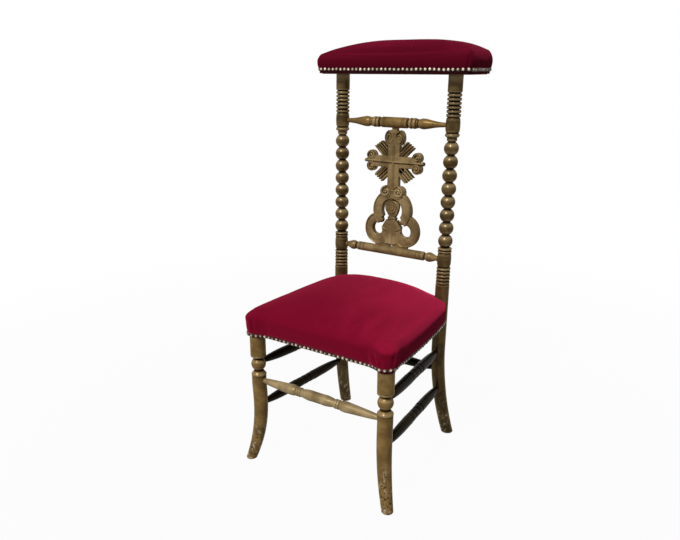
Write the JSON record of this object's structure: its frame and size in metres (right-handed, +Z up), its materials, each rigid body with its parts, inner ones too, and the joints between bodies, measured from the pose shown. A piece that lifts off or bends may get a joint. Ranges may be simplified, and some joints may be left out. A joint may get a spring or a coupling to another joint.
{
  "type": "prayer chair",
  "caption": "Upright prayer chair with bead-turned posts, a pierced cross splat, a low stuffed velvet seat and a broad padded crest to lean the arms on.",
  "frame": {"origin": "on the floor, under the middle of the chair's outline", "axes": "+Z up, -Y the way the chair faces, +X to the right of someone who looks at its front"},
  "size_m": [0.3892, 0.4262, 0.9293],
  "materials": {
    "gilt_wood": "bronze gilt paint, worn satin",
    "bare_beech": "bare",
    "crimson_velvet": "velvet pile",
    "horsehair": "matted fibre",
    "jute_webbing": "woven strap",
    "hessian": "open weave"
  },
  "bodies": {
    "root": {"front_leg_left": "gilt_wood", "front_leg_right": "gilt_wood", "back_post_left": "gilt_wood", "back_post_right": "gilt_wood", "front_stretcher": "gilt_wood", "rear_stretcher": "gilt_wood", "side_stretcher_upper_left": "gilt_wood", "side_stretcher_upper_right": "gilt_wood", "side_stretcher_lower_left": "gilt_wood", "side_stretcher_lower_right": "gilt_wood", "upper_spindle": "gilt_wood", "lower_spindle": "gilt_wood", "back_splat": "gilt_wood", "crest_board": "gilt_wood", "seat_rail_front": "bare_beech", "seat_rail_right": "bare_beech", "seat_rail_rear": "bare_beech", "seat_rail_left": "bare_beech", "web_strap_long_left": "jute_webbing", "web_strap_long_middle": "jute_webbing", "web_strap_long_right": "jute_webbing", "web_strap_cross_front": "jute_webbing", "web_strap_cross_middle": "jute_webbing", "web_strap_cross_rear": "jute_webbing", "seat_hessian": "hessian", "seat_stuffing": "horsehair", "crest_stuffing": "horsehair", "seat_cover": "crimson_velvet", "crest_cover": "crimson_velvet"}
  },
  "joints": []
}
